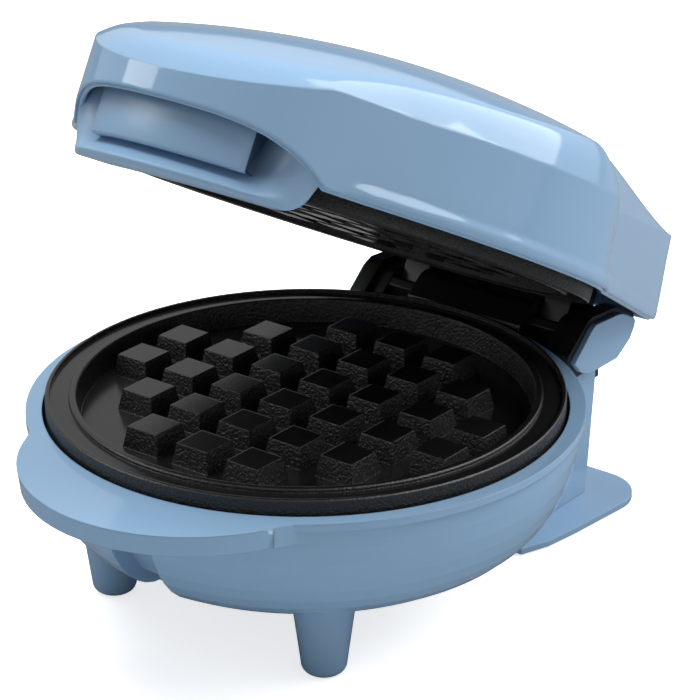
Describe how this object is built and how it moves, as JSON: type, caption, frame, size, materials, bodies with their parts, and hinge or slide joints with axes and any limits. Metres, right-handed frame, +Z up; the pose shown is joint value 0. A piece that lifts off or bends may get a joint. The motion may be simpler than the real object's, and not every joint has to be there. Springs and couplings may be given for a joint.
{
  "type": "waffle maker",
  "caption": "Small round hinged waffle maker with studded baking plates, domed lid with a front grip, front legs and a rear stand, lid standing part open.",
  "frame": {"origin": "middle of the footprint of the open waffle maker, on the table", "axes": "+X to the right seen from the front, +Y to the rear (hinge side), +Z up; the front lip and grip face -Y"},
  "size_m": [0.1334, 0.1833, 0.1452],
  "materials": {
    "blue_plastic": "glossy pastel blue moulded plastic",
    "black_plastic": "satin black heat-resistant plastic",
    "nonstick_aluminium": "cast aluminium with a black non-stick coat",
    "zinc_steel": "bright zinc plated",
    "element_steel": "dull grey heating tube",
    "aluminised_steel": "pressed aluminised sheet steel",
    "thermostat_case": "bright pressed case",
    "terminal_ceramic": "unglazed steatite",
    "pad_rubber": "matte black moulded rubber",
    "glass_sleeve": "braided glass-fibre sleeve",
    "lens_red": "clear red moulded lens",
    "lens_green": "clear green moulded lens"
  },
  "bodies": {
    "base": {"base_shell": "blue_plastic", "bottom_cover": "blue_plastic", "bottom_cover_screws": "zinc_steel", "rear_stand": "blue_plastic", "stand_screws": "zinc_steel", "stand_pads": "pad_rubber", "cord_bush": "pad_rubber", "hinge_block": "black_plastic", "hinge_block_screws": "zinc_steel", "hinge_cap_left": "blue_plastic", "hinge_cap_right": "blue_plastic", "hinge_pins": "zinc_steel", "lower_plate": "nonstick_aluminium", "lower_plate_screws": "zinc_steel", "lower_element": "element_steel", "lower_dish": "aluminised_steel", "lower_thermostat": "thermostat_case", "thermal_fuse": "thermostat_case", "fuse_clip": "zinc_steel", "terminal_block": "terminal_ceramic", "wire_sleeve": "glass_sleeve"},
    "lid": {"lid_shell": "blue_plastic", "lid_grip": "blue_plastic", "lid_frame": "black_plastic", "upper_plate": "nonstick_aluminium", "upper_plate_screws": "zinc_steel", "upper_element": "element_steel", "upper_dish": "aluminised_steel", "upper_thermostat": "thermostat_case", "lamp_carrier": "black_plastic", "lamp_lens_red": "lens_red", "lamp_lens_green": "lens_green", "lid_sleeve": "glass_sleeve"}
  },
  "joints": [
    {"name": "lid_hinge", "type": "hinge", "parent": "base", "child": "lid", "pos_m": [0, 0.06658, 0.046], "axis": [-1, 0, 0], "range_deg": [-28.85, 64]}
  ]
}
